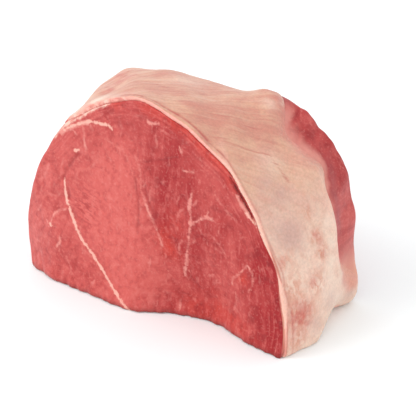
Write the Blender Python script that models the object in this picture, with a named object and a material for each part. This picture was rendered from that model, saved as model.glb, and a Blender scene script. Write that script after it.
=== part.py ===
"""A raw beef knuckle roast, cut across the muscle: a D-shaped slab of lean with its fat cover on top.

The lean is lofted from the outline of the front cut to the outline of the back cut and closed by
the two cut faces. The fat cover is a sheet of varying thickness that lies on the lean's round side.
Units are metres, +Z is up, and -Y is the side of the front cut.
"""

import math

import bmesh
import bpy
import numpy as np
from mathutils import Vector

# Driving dimensions
FACE_WIDTH = 0.220
FACE_HEIGHT = 0.150
BASE_DEPTH = 0.086
FAT_AT_CUT = 0.0022
FAT_IN_FIELD = 0.0042
FAT_AT_EDGE = 0.0012
FAT_FOOT_ROLL = 0.0028
FAT_STRIP_RIDGE = 0.0012
GAP = 0.0004
RIM_RADIUS = 0.0016

# How far the cut faces stand out of, or lie behind, their flat planes
FACE_BELLY = 0.0118
FACE_HOLLOW = 0.0068
FACE_TOE = 0.0048
FACE_DOME = 0.0025
BACK_DOME = 0.0045
SIDE_SWELL = 0.0018

# Outlines of the two cuts, as shares of the face's width and height. They run clockwise from the
# lower left corner, and the last three points lie on the flat underside.
FRONT_OUTLINE = (
    (0.015, 0.000),
    (-0.008, 0.225),
    (0.070, 0.595),
    (0.230, 0.825),
    (0.425, 1.000),
    (0.630, 0.940),
    (0.785, 0.765),
    (0.903, 0.535),
    (0.970, 0.265),
    (0.990, 0.000),
    (0.935, 0.000),
    (0.500, 0.000),
    (0.070, 0.000),
)
BACK_OUTLINE = (
    (0.040, 0.000),
    (0.010, 0.230),
    (0.030, 0.590),
    (0.108, 0.815),
    (0.300, 0.868),
    (0.540, 0.857),
    (0.732, 0.893),
    (0.902, 0.750),
    (0.993, 0.385),
    (0.988, 0.000),
    (0.933, 0.000),
    (0.500, 0.000),
    (0.100, 0.000),
)

# Places along the outline, counted in outline points
LOWER_LEFT = 0.0
FAT_LEFT_FRONT = 2.75
FAT_LEFT_BACK = 1.9
CROWN = 5.0
FAT_RIGHT = 8.86
LOWER_RIGHT = 9.0

# Bare strip of lean along the upper right of the back cut, where the cover is trimmed away
STRIP_START = 5.8
STRIP_FULL_FROM = 6.35
STRIP_FULL_TO = 8.1
STRIP_END = 8.65
STRIP_SHARE = 0.31
STRIP_TONGUE = 7.02
STRIP_TONGUE_SHARE = 0.07

# Mesh divisions: round the outline, across the cut faces, and from cut to cut
BARE_LEFT_CELLS = 10
FAT_LEFT_CELLS = 24
FAT_RIGHT_CELLS = 37
BARE_RIGHT_CELLS = 1
FACE_CELLS_WIDE = 40
FACE_CELLS_HIGH = 16
DEPTH_CELLS = 11
FAT_CELLS_DEEP = 12

LEAN_RED = (0.52, 0.085, 0.082, 1.0)
FAT_CREAM = (0.80, 0.52, 0.40, 1.0)


def smooth(low, high, value):
    """A smooth step from 0 at low to 1 at high."""
    t = min(1.0, max(0.0, (value - low) / (high - low)))
    return t * t * (3.0 - 2.0 * t)


def hump(centre, reach, value):
    """A bell of height 1 at centre, nearly gone at twice the reach."""
    return math.exp(-(((value - centre) / reach) ** 2))


def outline_point(place, back_share):
    """The lean's outline at a place along it, in the X-Z plane, for a share of the way to the back."""
    count = len(FRONT_OUTLINE)
    first = math.floor(place)
    t = place - first
    keys = []
    for step in (-1, 0, 1, 2):
        index = (first + step) % count
        front = Vector(FRONT_OUTLINE[index])
        back = Vector(BACK_OUTLINE[index])
        keys.append(front.lerp(back, back_share))
    before, start, end, after = keys
    share = 0.5 * (
        2.0 * start
        + (end - before) * t
        + (2.0 * before - 5.0 * start + 4.0 * end - after) * t**2
        + (3.0 * start - before - 3.0 * end + after) * t**3
    )
    return Vector((share.x * FACE_WIDTH, share.y * FACE_HEIGHT))


def outward(place, back_share):
    """The direction out of the outline, in the X-Z plane."""
    step = 0.02
    along = outline_point(place + step, back_share) - outline_point(place - step, back_share)
    return Vector((-along.y, along.x)).normalized()


def fat_depth_share(place):
    """How far back the cover reaches, as a share of the depth: less along the bare strip."""
    rise = smooth(STRIP_START, STRIP_FULL_FROM, place)
    fall = 1.0 - smooth(STRIP_FULL_TO, STRIP_END, place)
    tongue = STRIP_TONGUE_SHARE * hump(STRIP_TONGUE, 0.16, place)
    return 1.0 - STRIP_SHARE * rise * fall + tongue


def above_floor(place):
    """1 all the way round the joint, fading to 0 at its two lower corners."""
    return smooth(0.0, 0.8, place) * (1.0 - smooth(8.3, LOWER_RIGHT, place))


def unevenness(place, back_share):
    """The slow lumps of a hand-cut joint, in metres, with a rougher line along the bare strip."""
    lumps = (
        0.0011 * math.sin(2.3 * place + 4.0 * back_share + 0.6)
        + 0.0009 * math.sin(4.1 * place - 6.5 * back_share + 2.1)
        + 0.0006 * math.sin(7.7 * place + 9.0 * back_share)
    )
    bare = smooth(0.0, 0.25, back_share - fat_depth_share(place))
    rough_strip = (0.0009 * math.sin(13.0 * place) + 0.0006 * math.sin(29.0 * place)) * bare
    return (lumps + rough_strip) * above_floor(place)


def front_cut(x, z):
    """Y of the front cut: a belly low on the left, a shallow hollow, and a toe at the right corner."""
    across = x / FACE_WIDTH
    up = z / FACE_HEIGHT
    belly_across = smooth(-0.06, 0.16, across) * (1.0 - smooth(0.44, 0.60, across))
    belly = FACE_BELLY * belly_across * hump(0.05, 0.36, up)
    hollow = FACE_HOLLOW * hump(0.70, 0.105, across) * hump(0.00, 0.30, up)
    toe = FACE_TOE * smooth(0.72, 0.97, across) * hump(0.00, 0.30, up)
    dome = FACE_DOME * hump(0.42, 0.34, across) * hump(0.55, 0.35, up)
    return hollow - belly - toe - dome


def back_cut(x, z):
    """Y of the back cut: a shallow dome with slight ripples."""
    across = x / FACE_WIDTH
    up = z / FACE_HEIGHT
    dome = BACK_DOME * hump(0.50, 0.45, across) * hump(0.40, 0.45, up)
    ripple = 0.0012 * math.sin(9.0 * across + 2.0) * math.sin(7.0 * up + 1.0)
    return BASE_DEPTH + dome + ripple


def body_point(place, back_share, out):
    """A point that lies out from the lean's side surface, at a share of the way from cut to cut."""
    flat = outline_point(place, back_share)
    swell = SIDE_SWELL * math.sin(math.pi * back_share) * above_floor(place)
    flat += outward(place, back_share) * (out + swell + unevenness(place, back_share))
    x = flat.x
    z = max(flat.y, 0.0)
    y_front = front_cut(x, z)
    y_back = back_cut(x, z)
    return Vector((x, y_front + (y_back - y_front) * back_share, z))


def evenly(start, end, cells):
    """Places from start up to end that cut the front outline into cells of equal length."""
    fine = 400
    places = np.linspace(start, end, fine + 1)
    points = np.array([outline_point(p, 0.0) for p in places])
    lengths = np.linalg.norm(np.diff(points, axis=0), axis=1)
    run = np.concatenate([[0.0], np.cumsum(lengths)])
    wanted = np.linspace(0.0, run[-1], cells + 1)
    return [float(p) for p in np.interp(wanted, run, places)]


def loop_places(deep_share):
    """Places round the outline: bare left side, both halves of the cover, bare foot, underside."""
    fat_left = FAT_LEFT_FRONT + (FAT_LEFT_BACK - FAT_LEFT_FRONT) * deep_share
    end = float(len(FRONT_OUTLINE))
    runs = (
        (LOWER_LEFT, fat_left, BARE_LEFT_CELLS),
        (fat_left, CROWN, FAT_LEFT_CELLS),
        (CROWN, FAT_RIGHT, FAT_RIGHT_CELLS),
        (FAT_RIGHT, LOWER_RIGHT, BARE_RIGHT_CELLS),
        (LOWER_RIGHT, end, FACE_CELLS_WIDE),
    )
    places = []
    for start, stop, cells in runs:
        places += evenly(start, stop, cells)[:-1]
    return places


def rim_stations():
    """Depth shares and insets of the rings: a small round at each cut, even cells between them."""
    round_share = RIM_RADIUS / BASE_DEPTH
    stations = [(0.0, RIM_RADIUS), (0.3 * round_share, 0.3 * RIM_RADIUS)]
    for cell in range(DEPTH_CELLS + 1):
        share = round_share + (1.0 - 2.0 * round_share) * cell / DEPTH_CELLS
        stations.append((share, 0.0))
    stations += [(1.0 - 0.3 * round_share, 0.3 * RIM_RADIUS), (1.0, RIM_RADIUS)]
    return stations


def cap(bm, ring, cut):
    """Fills a ring with a grid of quads that is blended from its left, crown, right and underside."""
    wide = FACE_CELLS_WIDE
    high = FACE_CELLS_HIGH
    left = ring[: high + 1]
    crown = ring[high : high + wide + 1]
    right = ring[high + wide : 2 * high + wide + 1][::-1]
    under = (ring[2 * high + wide :] + ring[:1])[::-1]
    grid = []
    for row in range(high + 1):
        v = row / high
        line = []
        for column in range(wide + 1):
            u = column / wide
            if row == 0:
                vert = under[column]
            elif row == high:
                vert = crown[column]
            elif column == 0:
                vert = left[row]
            elif column == wide:
                vert = right[row]
            else:
                across = left[row].co.lerp(right[row].co, u)
                upward = under[column].co.lerp(crown[column].co, v)
                lower = left[0].co.lerp(right[0].co, u)
                upper = left[high].co.lerp(right[high].co, u)
                point = across + upward - lower.lerp(upper, v)
                vert = bm.verts.new((point.x, cut(point.x, point.z), point.z))
            line.append(vert)
        grid.append(line)
    for row in range(high):
        for column in range(wide):
            corners = (
                grid[row][column],
                grid[row][column + 1],
                grid[row + 1][column + 1],
                grid[row + 1][column],
            )
            bm.faces.new(corners)


def make_object(name, bm, material):
    """Turns the bmesh into a smooth-shaded object with its faces pointing out."""
    bmesh.ops.recalc_face_normals(bm, faces=bm.faces)
    mesh = bpy.data.meshes.new(name)
    bm.to_mesh(mesh)
    bm.free()
    mesh.materials.append(material)
    mesh.shade_smooth()
    mesh.set_sharp_from_angle(angle=math.radians(50))
    made = bpy.data.objects.new(name, mesh)
    bpy.context.scene.collection.objects.link(made)
    return made


def flesh_material(name, colour, roughness):
    """A moist, non-metallic surface."""
    material = bpy.data.materials.new(name)
    material.use_nodes = True
    shader = material.node_tree.nodes["Principled BSDF"]
    shader.inputs["Base Color"].default_value = colour
    shader.inputs["Roughness"].default_value = roughness
    shader.inputs["Metallic"].default_value = 0.0
    return material


def make_lean():
    """The muscle: rings from the front cut to the back cut, closed by the two cut faces."""
    bm = bmesh.new()
    rings = []
    for back_share, inset in rim_stations():
        places = loop_places(back_share)
        ring = [bm.verts.new(body_point(place, back_share, -inset)) for place in places]
        rings.append(ring)
    for near, far in zip(rings, rings[1:]):
        for index, vert in enumerate(near):
            after = (index + 1) % len(near)
            bm.faces.new((vert, near[after], far[after], far[index]))
    cap(bm, rings[0], front_cut)
    cap(bm, rings[-1], back_cut)
    return make_object("lean", bm, flesh_material("raw_lean", LEAN_RED, 0.42))


def fat_thickness(round_share, deep_share, place):
    """Thickness of the cover: thin at the front cut, full in the field, thin at its free edges."""
    field = FAT_AT_CUT + (FAT_IN_FIELD - FAT_AT_CUT) * smooth(0.0, 0.35, deep_share)
    ridge = FAT_STRIP_RIDGE * hump(0.90, 0.08, deep_share) * smooth(5.0, 6.0, place)
    shoulder = 0.0008 * hump(0.10, 0.10, round_share)
    free_left = smooth(0.0, 0.10, round_share)
    strip = smooth(STRIP_START, STRIP_START + 0.3, place)
    free_back = 1.0 - smooth(0.93, 1.0, deep_share) * strip
    foot = FAT_FOOT_ROLL * hump(0.36, 0.26, deep_share) * smooth(7.9, 8.7, place)
    full = field + ridge + shoulder + foot
    return FAT_AT_EDGE + (full - FAT_AT_EDGE) * free_left * free_back


def fat_row(deep_share):
    """Places along the outline for one row of the cover: the lean's own, from left edge to foot."""
    cells = FAT_LEFT_CELLS + FAT_RIGHT_CELLS
    return loop_places(deep_share)[BARE_LEFT_CELLS : BARE_LEFT_CELLS + cells + 1]


def make_fat_cover():
    """The fat cover: an under face that follows the lean, an upper face, and an edge all round."""
    bm = bmesh.new()
    under = []
    upper = []
    for row in range(FAT_CELLS_DEEP + 1):
        deep_share = row / FAT_CELLS_DEEP
        under_line = []
        upper_line = []
        row_places = fat_row(deep_share)
        for column, place in enumerate(row_places):
            back_share = deep_share * fat_depth_share(place)
            thickness = fat_thickness(column / (len(row_places) - 1), deep_share, place)
            low = body_point(place, back_share, GAP)
            high = body_point(place, back_share, GAP + thickness)
            under_line.append(bm.verts.new(low))
            upper_line.append(bm.verts.new(high))
        under.append(under_line)
        upper.append(upper_line)
    for sheet in (under, upper):
        for near, far in zip(sheet, sheet[1:]):
            for column in range(len(near) - 1):
                corners = (near[column], near[column + 1], far[column + 1], far[column])
                bm.faces.new(corners)
    sides = (
        (under[0], upper[0]),
        (under[-1], upper[-1]),
        ([line[0] for line in under], [line[0] for line in upper]),
        ([line[-1] for line in under], [line[-1] for line in upper]),
    )
    for low_edge, high_edge in sides:
        for index in range(len(low_edge) - 1):
            corners = (
                low_edge[index],
                low_edge[index + 1],
                high_edge[index + 1],
                high_edge[index],
            )
            bm.faces.new(corners)
    return make_object("fat_cover", bm, flesh_material("raw_fat", FAT_CREAM, 0.48))


def stand_on_origin(made):
    """Moves every mesh so that the origin is at the middle of the footprint, on the floor."""
    points = np.array([vert.co for item in made for vert in item.data.vertices])
    low = points.min(axis=0)
    high = points.max(axis=0)
    shift = Vector((-(low[0] + high[0]) / 2.0, -(low[1] + high[1]) / 2.0, -low[2]))
    for item in made:
        for vert in item.data.vertices:
            vert.co += shift


def main():
    for old in list(bpy.data.objects):
        bpy.data.objects.remove(old)
    stand_on_origin([make_lean(), make_fat_cover()])


main()
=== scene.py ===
import math

import bpy
import numpy as np
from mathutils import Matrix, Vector, noise
from mathutils.bvhtree import BVHTree


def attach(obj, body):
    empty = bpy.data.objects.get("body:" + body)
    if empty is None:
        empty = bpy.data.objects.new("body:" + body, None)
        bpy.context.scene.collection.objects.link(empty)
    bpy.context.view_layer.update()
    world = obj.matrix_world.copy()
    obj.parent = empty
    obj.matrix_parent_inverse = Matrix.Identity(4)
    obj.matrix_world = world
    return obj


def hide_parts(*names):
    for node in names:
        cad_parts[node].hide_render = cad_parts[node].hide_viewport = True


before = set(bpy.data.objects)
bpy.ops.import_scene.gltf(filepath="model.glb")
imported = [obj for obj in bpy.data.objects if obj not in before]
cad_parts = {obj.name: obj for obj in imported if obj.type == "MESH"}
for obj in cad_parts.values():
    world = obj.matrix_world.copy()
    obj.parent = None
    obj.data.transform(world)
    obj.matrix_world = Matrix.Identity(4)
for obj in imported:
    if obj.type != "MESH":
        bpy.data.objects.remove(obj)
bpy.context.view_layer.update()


# The lean: one slab of knuckle muscle, cut front and back with a knife and trimmed along its rear
# edge. Raw beef. It is a finer copy of the solid, with its muscle groups and seams pressed into
# the cut face, and lines of fat drawn on it.
def take_up(piece):
    """Makes a piece the only selected and the active one."""
    bpy.ops.object.select_all(action="DESELECT")
    piece.select_set(True)
    bpy.context.view_layer.objects.active = piece


def finer_copy(node, name, levels):
    """A copy of a solid as merged quads, smoothed by subdivision."""
    made = bpy.data.objects.new(name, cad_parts[node].data.copy())
    bpy.context.scene.collection.objects.link(made)
    made.data.materials.clear()
    take_up(made)
    bpy.ops.mesh.customdata_custom_splitnormals_clear()
    bpy.ops.object.mode_set(mode="EDIT")
    bpy.ops.mesh.select_all(action="SELECT")
    bpy.ops.mesh.remove_doubles(threshold=0.000002)
    bpy.ops.mesh.tris_convert_to_quads(face_threshold=math.pi, shape_threshold=math.pi)
    bpy.ops.mesh.faces_shade_smooth()
    bpy.ops.mesh.mark_sharp(clear=True)
    bpy.ops.object.mode_set(mode="OBJECT")
    finer = made.modifiers.new("finer", "SUBSURF")
    finer.levels = levels
    finer.render_levels = levels
    bpy.ops.object.modifier_apply(modifier=finer.name)
    return made


# The frame is in metres, and the pieces are shaped here in millimetres
MM_IN_A_METRE = 1000.0


def subdivide_where(piece, wanted):
    """Subdivides the faces for which wanted(centres in mm, normals) is true."""
    mesh = piece.data
    centres = np.empty(len(mesh.polygons) * 3)
    normals = np.empty(len(mesh.polygons) * 3)
    mesh.polygons.foreach_get("center", centres)
    mesh.polygons.foreach_get("normal", normals)
    chosen = wanted(centres.reshape(-1, 3) * MM_IN_A_METRE, normals.reshape(-1, 3))
    take_up(piece)
    bpy.ops.object.mode_set(mode="EDIT")
    bpy.ops.mesh.select_mode(type="FACE")
    bpy.ops.mesh.select_all(action="DESELECT")
    bpy.ops.object.mode_set(mode="OBJECT")
    mesh.polygons.foreach_set("select", chosen)
    bpy.ops.object.mode_set(mode="EDIT")
    bpy.ops.mesh.subdivide(number_cuts=1, quadcorner="INNERVERT")
    bpy.ops.object.mode_set(mode="OBJECT")


def points_mm(piece):
    """The piece's vertices and their normals, as rows, in millimetres."""
    count = len(piece.data.vertices)
    places = np.empty(count * 3)
    normals = np.empty(count * 3)
    piece.data.vertices.foreach_get("co", places)
    piece.data.vertices.foreach_get("normal", normals)
    return places.reshape(-1, 3) * MM_IN_A_METRE, normals.reshape(-1, 3)


def move_to_mm(piece, places):
    """Puts the piece's vertices at the given places in millimetres."""
    piece.data.vertices.foreach_set("co", (places / MM_IN_A_METRE).ravel())
    piece.data.update()


def keep_values(piece, name, values):
    """Keeps one number for each vertex, for the material to read."""
    kept = piece.data.attributes.new(name, "FLOAT", "POINT")
    kept.data.foreach_set("value", np.asarray(values, dtype=np.float32))


def ease(low, high, values):
    """A smooth step from 0 at low to 1 at high."""
    t = np.clip((values - low) / (high - low), 0.0, 1.0)
    return t * t * (3.0 - 2.0 * t)


def fall(low, high, values):
    """A smooth step from 1 at low to 0 at high."""
    return 1.0 - ease(low, high, values)


def hill(values, middle, spread):
    """A smooth hill: 1 at the middle, 0.37 one spread away from it, and soon 0."""
    return np.exp(-(((values - middle) / spread) ** 2))


def lumps(places, size, seed):
    """Smooth noise between about -1 and 1 with bumps of a size in millimetres."""
    offset = Vector((seed * 7.3, seed * 3.1, seed * 5.7))
    return np.array([noise.noise(Vector(p) / size + offset) for p in places])


def drawn(corners):
    """A smooth line through the given points, as many short steps."""
    points = [np.array(corner, dtype=float) for corner in corners]
    if len(points) == 2:
        return np.array(points)
    ends = [2.0 * points[0] - points[1]] + points + [2.0 * points[-1] - points[-2]]
    line = []
    for before, start, end, after in zip(ends, ends[1:], ends[2:], ends[3:]):
        for t in np.linspace(0.0, 1.0, 5)[:-1]:
            curve = 2.0 * start + (end - before) * t
            curve += (2.0 * before - 5.0 * start + 4.0 * end - after) * t**2
            curve += (3.0 * start - before - 3.0 * end + after) * t**3
            line.append(0.5 * curve)
    line.append(points[-1])
    return np.array(line)


def from_line(points, line):
    """For each point: its distance from the line, how far along it that lies, and on which side."""
    gap = np.full(len(points), 1e9)
    along = np.zeros(len(points))
    side = np.ones(len(points))
    run = 0.0
    for start, end in zip(line, line[1:]):
        step = end - start
        length = np.linalg.norm(step)
        away = points - start
        t = np.clip((away @ step) / length**2, 0.0, 1.0)
        here = np.linalg.norm(away - t[:, None] * step, axis=1)
        nearer = here < gap
        gap[nearer] = here[nearer]
        along[nearer] = run + t[nearer] * length
        turn = step[0] * away[:, 1] - step[1] * away[:, 0]
        side[nearer] = np.where(turn[nearer] > 0.0, 1.0, -1.0)
        run += length
    return gap, along, side


def nearest_line(points, lines):
    """Each point's distance from the nearest of the lines."""
    nearest = np.full(len(points), 1e9)
    for line in lines:
        nearest = np.minimum(nearest, from_line(points, line)[0])
    return nearest


# What a point far from every line is given as its place inside them, in millimetres
FAR_OUTSIDE = -9.0


def inside_lines(points, lines):
    """How far each point lies inside the nearest of the lines, in millimetres, negative outside."""
    inside = np.full(len(points), FAR_OUTSIDE)
    for start_width, end_width, corners in lines:
        line = drawn(corners)
        run = np.linalg.norm(np.diff(line, axis=0), axis=1).sum()
        gap, along = from_line(points, line)[:2]
        half = 0.5 * (start_width + (end_width - start_width) * along / run)
        taper = np.minimum(1.0, np.minimum(along, run - along) / 1.5 + 0.35)
        inside = np.maximum(inside, half * taper - gap)
    return inside


# Seams on the cut face in millimetres: width at the start and at the end, then (x, z) points.
# White ones are full of fat, pink ones are thin sheets of connective tissue, faint ones barely
# show, and dark ones are where two muscles part, or painted shadow beside the proud main seam.
MAIN_SEAM = (
    (1.1, 2.0, [(-74.0, 79.0), (-73.3, 76.0), (-72.2, 69.0), (-71.0, 63.4), (-69.0, 60.3)]),
    (2.0, 2.1, [(-69.0, 60.3), (-66.1, 54.5), (-62.4, 49.0), (-56.7, 40.4), (-49.1, 34.4)]),
    (2.0, 1.7, [
        (-49.1, 34.4), (-39.8, 25.7), (-32.9, 18.3), (-26.2, 11.1), (-13.5, 2.4), (-9.0, -1.0),
    ]),
)
WHITE_SEAMS = MAIN_SEAM + (
    (2.8, 2.6, [(-71.8, 64.8), (-70.4, 62.4)]),
    (2.4, 2.4, [(-86.2, 42.2), (-84.4, 41.4)]),
    (2.2, 1.8, [(-64.8, 102.2), (-60.4, 103.8)]),
    (1.5, 1.7, [(-74.0, 114.6), (-65.2, 120.2), (-57.2, 123.8), (-50.9, 126.4), (-43.2, 127.4)]),
    (1.7, 1.2, [(-43.2, 127.4), (-37.1, 127.8), (-33.6, 127.0), (-30.6, 124.6)]),
    (0.9, 1.6, [(72.4, 95.6), (77.4, 90.4), (80.6, 87.8), (83.8, 85.0)]),
)
PINK_SEAMS = (
    (1.3, 1.0, [(-70.5, 58.4), (-75.2, 55.6), (-81.0, 52.2), (-83.5, 48.1), (-84.8, 42.5)]),
    (3.4, 3.0, [(-78.2, 111.4), (-65.2, 119.6), (-57.2, 123.4), (-50.9, 126.0)]),
    (1.6, 1.2, [(-56.8, 122.0), (-55.6, 115.0), (-55.4, 110.0), (-54.4, 104.6)]),
    (1.8, 2.8, [(65.9, 104.6), (68.6, 100.9), (73.2, 95.2), (76.4, 91.4)]),
    (2.8, 2.0, [(76.4, 91.4), (79.8, 88.6), (83.4, 85.4)]),
    (2.2, 1.0, [(-2.6, 138.8), (-0.6, 137.2), (2.4, 137.4), (6.2, 138.8)]),
    (1.0, 1.0, [(-66.4, 118.4), (-62.2, 114.0)]),
    (1.2, 3.2, [(32.1, 96.6), (31.0, 91.5), (29.8, 87.6)]),
    (3.2, 0.9, [(29.8, 87.6), (30.2, 83.5), (31.2, 80.0)]),
    (0.8, 1.4, [(31.2, 80.0), (31.4, 77.0), (30.9, 74.4)]),
    (3.0, 2.2, [(30.2, 75.4), (31.6, 72.2)]),
    (2.2, 1.2, [(30.9, 74.0), (34.6, 76.2), (38.0, 79.2)]),
    (2.4, 1.6, [(38.4, 79.6), (43.9, 82.6), (48.8, 82.0)]),
    (1.3, 0.8, [(43.2, 83.0), (45.2, 87.2)]),
    (1.5, 0.8, [(30.6, 72.0), (29.4, 66.0), (28.6, 60.5)]),
    (0.8, 1.2, [(28.6, 60.5), (28.4, 56.0), (26.8, 50.5)]),
    (1.4, 3.0, [(26.8, 50.5), (26.4, 44.6), (25.2, 40.0)]),
    (2.8, 1.0, [(25.2, 40.0), (24.4, 35.6), (24.2, 31.6)]),
    (1.5, 1.3, [(-4.9, 82.6), (-1.6, 75.7), (2.9, 66.8), (5.8, 60.3), (9.2, 50.0)]),
    (1.1, 0.8, [(20.3, 11.3), (20.5, 4.9)]),
    (1.0, 1.2, [(22.7, 126.4), (24.5, 121.3)]),
    (1.2, 1.0, [(25.3, 111.1), (33.8, 111.7)]),
    (2.2, 1.8, [(-89.6, 43.6), (-88.4, 41.8)]),
    (1.2, 1.4, [(-76.2, 36.4), (-75.6, 31.8), (-78.4, 27.4)]),
    (1.0, 0.9, [(62.9, 38.6), (63.8, 44.0), (68.0, 48.3), (72.2, 53.2), (75.3, 56.8)]),
    (0.9, 0.7, [(75.3, 56.8), (79.0, 52.0), (79.4, 44.0), (76.4, 38.4)]),
)
FAINT_SEAMS = (
    (1.2, 1.1, [(3.8, 130.6), (4.6, 126.0), (5.2, 121.3)]),
    (1.1, 0.9, [(-88.6, 63.6), (-80.8, 64.8), (-77.0, 66.8)]),
    (1.1, 0.9, [(-97.5, 72.0), (-92.0, 77.6), (-88.0, 86.0)]),
    (1.2, 0.9, [(-46.5, 97.9), (-50.4, 93.4), (-56.8, 89.8)]),
    (1.2, 1.0, [(-61.9, 98.0), (-61.4, 95.6)]),
    (1.1, 0.8, [(-95.5, 53.7), (-100.1, 47.0)]),
    (1.8, 1.4, [(-80.8, 72.0), (-79.6, 71.0)]),
    (1.1, 1.0, [(-74.8, 35.0), (-76.2, 24.8)]),
    (1.0, 0.8, [(-69.7, 22.9), (-65.1, 14.2), (-64.5, 8.7)]),
    (1.1, 1.2, [(-7.8, 88.1), (-6.4, 85.6), (-4.9, 82.6)]),
    (1.0, 0.8, [(-12.7, 111.6), (-9.5, 105.4), (-8.0, 96.6), (-7.8, 88.1)]),
    (1.0, 0.8, [(-6.0, 90.0), (-4.3, 94.7), (1.2, 98.2)]),
    (0.9, 0.8, [(0.0, 93.3), (-0.6, 82.7)]),
    (0.9, 0.9, [(12.0, 104.6), (12.3, 103.4)]),
    (1.0, 0.8, [(9.8, 100.6), (9.8, 97.4)]),
    (1.8, 1.4, [(12.0, 66.2), (12.8, 62.6)]),
    (1.2, 1.6, [(33.6, 88.4), (36.2, 92.4)]),
    (1.4, 1.0, [(26.2, 84.0), (22.0, 80.2), (20.6, 75.6)]),
    (1.3, 0.9, [(36.8, 73.0), (40.2, 69.0), (45.6, 69.6)]),
    (1.3, 1.0, [(22.4, 92.6), (20.4, 87.0)]),
    (1.2, 1.0, [(49.0, 62.0), (55.0, 58.6)]),
    (1.4, 0.9, [(24.0, 60.0), (21.0, 54.0), (21.4, 47.0)]),
    (1.2, 0.9, [(20.5, 69.6), (21.5, 65.6)]),
    (1.1, 0.9, [(14.0, 76.0), (18.0, 71.5), (18.4, 67.0)]),
    (1.3, 1.0, [(35.4, 45.2), (37.2, 46.4)]),
    (1.3, 1.0, [(39.3, 47.6), (42.0, 49.4)]),
    (1.1, 1.0, [(65.2, 33.4), (66.8, 27.4), (63.6, 18.6)]),
    (1.0, 0.9, [(66.0, 22.0), (69.4, 18.3)]),
    (0.8, 0.7, [(-40.0, 118.0), (-22.0, 112.0), (-14.0, 98.0)]),
    (0.8, 0.7, [(46.0, 70.0), (54.0, 64.0), (60.0, 54.0)]),
    (0.8, 0.7, [(50.0, 100.0), (58.0, 92.0), (66.0, 86.0)]),
)
DARK_SEAMS_AND_SHADOWS = (
    (1.2, 1.8, [(-60.5, 101.0), (-65.6, 95.3), (-70.5, 88.0), (-73.8, 81.2), (-73.7, 78.1)]),
    # painted shadow: these two lie just right of the proud main seam, in its shade
    (1.6, 1.8, [(-71.1, 78.1), (-69.9, 72.0), (-69.4, 66.7)]),
    (1.8, 1.2, [(-66.2, 60.0), (-62.2, 53.3)]),
    (0.5, 0.5, [(-12.4, 96.0), (-10.2, 84.6), (-9.1, 77.7), (-8.9, 58.2)]),
    (0.7, 0.7, [(-4.6, 94.0), (-3.0, 86.6), (1.4, 77.0)]),
    (1.4, 1.0, [(28.4, 32.4), (31.6, 28.4), (36.4, 24.6)]),
    (0.9, 0.7, [(-7.1, 107.8), (1.0, 111.3), (20.9, 118.9)]),
    (0.9, 0.7, [(27.7, 31.7), (34.4, 26.0)]),
    (1.6, 1.2, [(-23.6, 144.2), (-21.6, 143.8)]),
)
# The muscle that has come away from the fat beside the cut's right edge, as an open gap,
# coloured dark as painted shade
OPEN_GAP = (
    (1.0, 2.3, [(60.6, 115.4), (64.6, 110.4), (69.0, 104.8)]),
    (2.3, 1.4, [(69.0, 104.8), (73.8, 98.2), (78.6, 91.6), (83.6, 84.2)]),
)
# Fat that runs into the cut along its upper left rim
SHOULDER_FAT = (
    (1.6, 5.8, [(-84.0, 107.0), (-76.0, 116.6), (-64.0, 127.6)]),
    (5.8, 2.2, [(-64.0, 127.6), (-46.0, 138.2), (-34.0, 143.6)]),
)
# Outline of the cut where the fat begins
CUT_RIM = drawn([
    (-88.0, 104.0), (-76.0, 118.0), (-64.0, 129.0), (-46.0, 140.0), (-28.0, 147.5), (-17.5, 149.0),
    (-6.2, 149.6), (5.6, 147.8), (17.6, 144.1), (28.5, 140.2), (36.6, 135.9), (45.8, 129.8),
    (54.8, 124.3), (62.7, 117.5), (68.8, 109.3), (74.8, 100.7), (81.4, 91.1), (86.8, 78.8),
    (92.0, 68.1), (97.4, 56.8), (101.6, 45.1), (104.4, 33.3), (106.0, 21.0), (106.8, 5.2),
    (107.0, 0.0),
])
# Where the muscle is paler or deeper than round about: (x, z, radius) in mm and how much deeper
TONE_AREAS = (
    (-48.0, 104.0, 14.0, 0.20),
    (14.0, 126.0, 13.0, 0.12),
    (-34.0, 66.0, 24.0, -0.36),
    (-32.0, 98.0, 18.0, -0.30),
    (-24.0, 38.0, 18.0, -0.20),
    (-9.0, 141.0, 18.0, -0.08),
    (-86.0, 66.0, 26.0, 0.11),
    (-58.0, 12.0, 15.0, 0.18),
    (-44.0, 122.0, 14.0, 0.12),
    (16.0, 99.0, 18.0, 0.36),
    (14.0, 62.0, 12.0, 0.20),
    (26.0, 50.0, 11.0, 0.16),
    (40.0, 68.0, 12.0, 0.12),
    (-80.0, 22.0, 13.0, 0.22),
    (7.0, 32.0, 16.0, -0.22),
    (-14.0, 18.0, 14.0, -0.16),
    (46.0, 112.0, 18.0, -0.20),
    (58.0, 77.0, 14.0, 0.04),
    (57.0, 38.0, 17.0, -0.18),
    (70.0, 10.0, 13.0, -0.14),
    (88.0, 58.0, 14.0, 0.37),
    (101.0, 20.0, 17.0, 0.82),
)
# Where it is warmer, nearer orange, besides the band of it that follows the rim
WARM_AREAS = (
    (-28.7, 145.0, 6.0, 0.9),
    (11.0, 59.0, 7.0, 0.9),
    (15.0, 49.0, 7.0, 0.8),
    (52.0, 13.0, 12.0, 0.8),
    (70.0, 8.0, 9.0, 0.5),
    (71.5, 46.0, 5.0, 0.9),
    (30.0, 8.0, 10.0, 0.6),
    (20.0, 72.0, 9.0, 0.4),
)
# The edge between the pale and the deep red muscle
DEEP_RED_EDGE = drawn([
    (-30.0, 128.0), (-14.0, 118.0), (-9.5, 105.4), (-8.0, 96.6), (-4.9, 81.9), (2.9, 66.8),
    (8.9, 50.5), (12.0, 34.0), (10.0, 16.0), (4.0, -2.0),
])

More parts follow.
